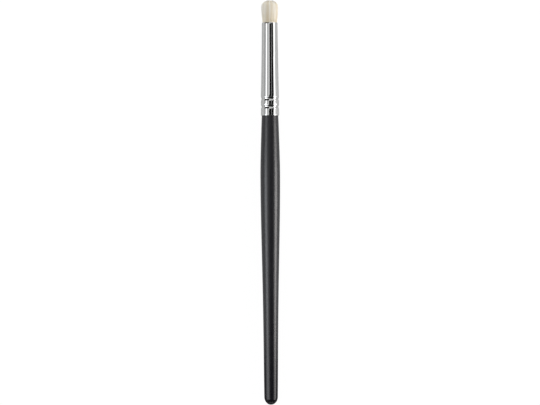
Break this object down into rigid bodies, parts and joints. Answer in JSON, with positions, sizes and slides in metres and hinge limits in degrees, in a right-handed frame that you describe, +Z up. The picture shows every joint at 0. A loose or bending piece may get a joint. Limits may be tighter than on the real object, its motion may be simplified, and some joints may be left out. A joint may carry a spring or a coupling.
{
  "type": "eyeshadow brush",
  "caption": "Slim cosmetic brush with a domed tuft of cream hair, a tapered, crimped chrome ferrule and a round black lacquered handle that swells, then thins to a rounded end.",
  "frame": {"origin": "on the table, under the middle of the brush's length, where the brush lies on the swell of its handle", "axes": "+X along the brush from the rounded butt to the hair, +Z up, +Y across the brush"},
  "size_m": [0.175, 0.0086, 0.0085],
  "materials": {
    "hair": "soft natural goat hair, cream with tan and pale strands",
    "thread": "waxed cotton thread",
    "glue": "cured amber resin",
    "chrome": "polished chrome plate",
    "wood": "turned close-grained hardwood",
    "lacquer": "satin black lacquer"
  },
  "bodies": {
    "root": {"hair_tuft": "hair", "binding_thread": "thread", "root_glue": "glue", "ferrule": "chrome", "handle_glue": "glue", "handle_core": "wood", "handle_lacquer": "lacquer"}
  },
  "joints": []
}
